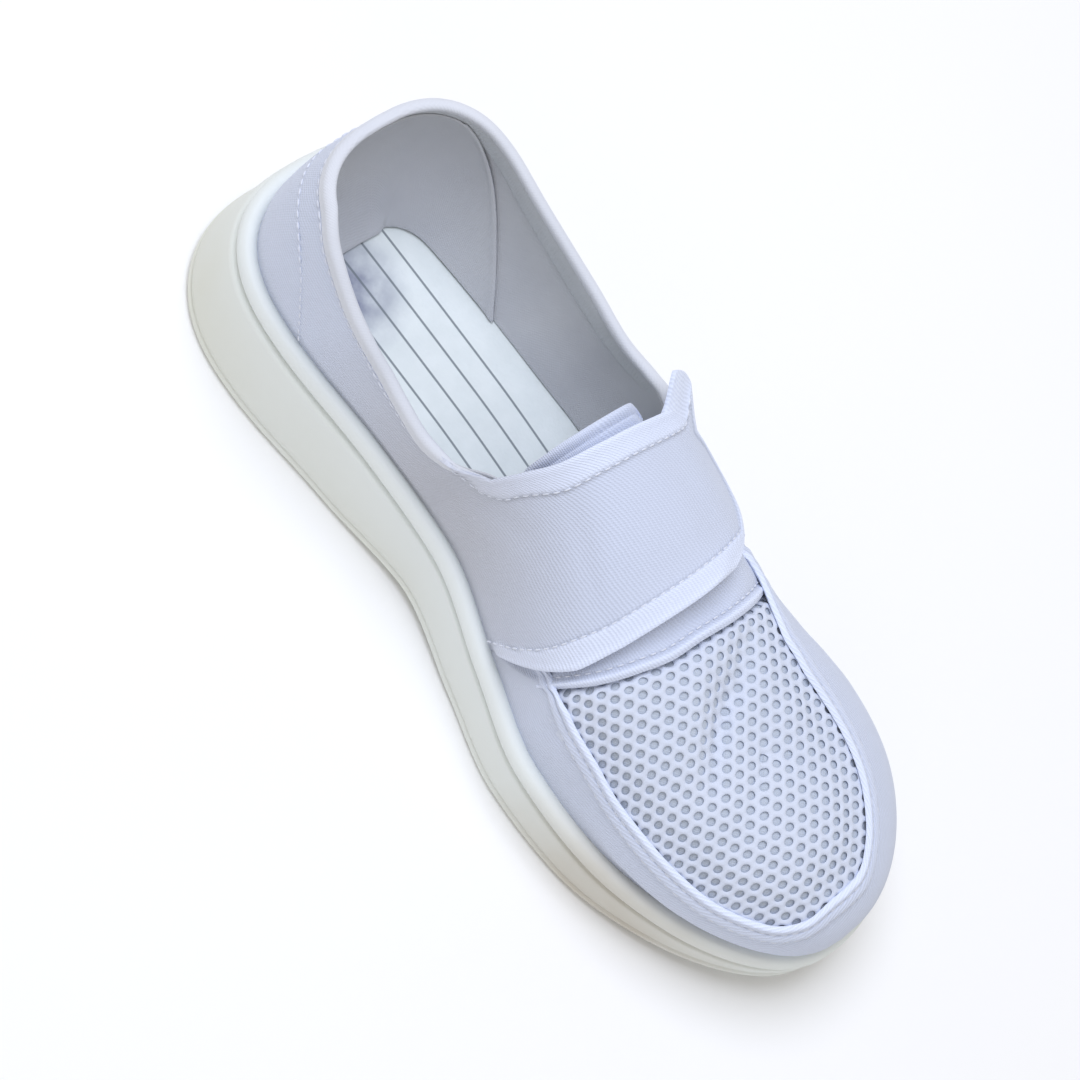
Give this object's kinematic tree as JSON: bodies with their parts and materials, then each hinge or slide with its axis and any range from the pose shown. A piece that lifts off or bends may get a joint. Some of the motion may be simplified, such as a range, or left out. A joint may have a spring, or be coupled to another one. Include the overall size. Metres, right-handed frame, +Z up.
{
  "type": "anti-static work shoe",
  "caption": "Low white canvas work shoe for the left foot, with a mesh vamp, a wide hook-and-loop instep strap, a bound collar and a moulded anti-static sole.",
  "frame": {"origin": "on the floor, under the middle of the shoe's box", "axes": "+Z up from the floor, -Y towards the toe, +X towards the outer side of the left foot"},
  "size_m": [0.094, 0.2522, 0.085],
  "materials": {
    "moulded_sole": "satin, moulded in one shot",
    "insole_cover": "matt cloth with thin dark conductive lines",
    "canvas": "matt twill canvas",
    "mesh": "matt knitted mesh with round holes",
    "binding_tape": "matt woven tape"
  },
  "bodies": {
    "root": {"outsole": "moulded_sole", "insole": "insole_cover", "upper": "canvas", "mesh_vamp": "mesh", "tongue": "canvas", "instep_strap": "canvas", "collar_binding": "binding_tape"}
  },
  "joints": []
}
